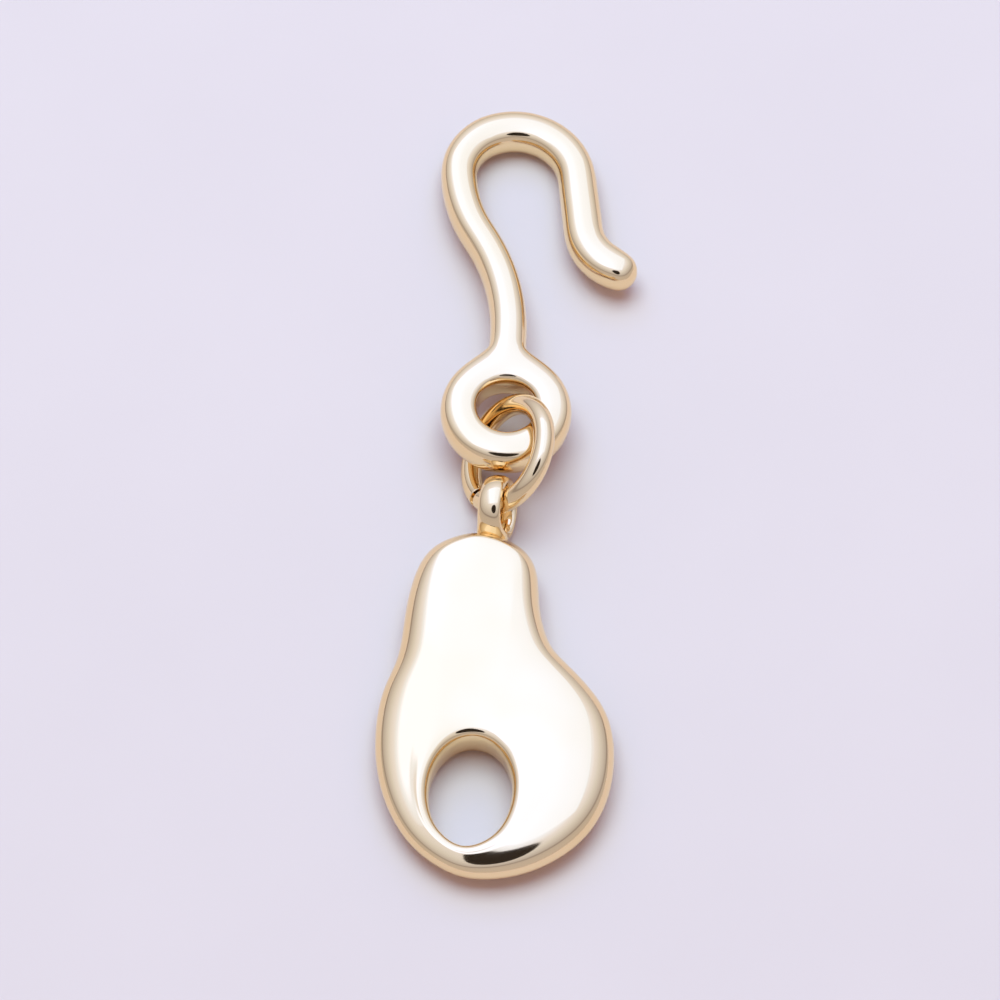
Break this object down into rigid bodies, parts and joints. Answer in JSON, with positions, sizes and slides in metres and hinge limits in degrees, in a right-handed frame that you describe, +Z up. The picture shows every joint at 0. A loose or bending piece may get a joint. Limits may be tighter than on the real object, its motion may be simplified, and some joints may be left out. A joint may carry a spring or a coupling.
{
  "type": "hook and eye clasp",
  "caption": "Polished gold hook and eye clasp: an open hook with a flat ring, a jump ring, and a pear-shaped plate with an oval eye and a small bail.",
  "frame": {"origin": "on the table under the middle of the clasp's outline seen from above, where it lies", "axes": "+Y from the eye plate towards the hook's bow, +Z up from the table, +X to the right, towards the hook's tip"},
  "size_m": [0.0156, 0.0502, 0.0058],
  "materials": {
    "hook_gold": "polished pale gold plate",
    "ring_gold": "polished pale gold plate",
    "plate_gold": "polished pale gold plate"
  },
  "bodies": {
    "root": {"hook": "hook_gold", "jump_ring": "ring_gold", "eye_plate": "plate_gold"}
  },
  "joints": []
}
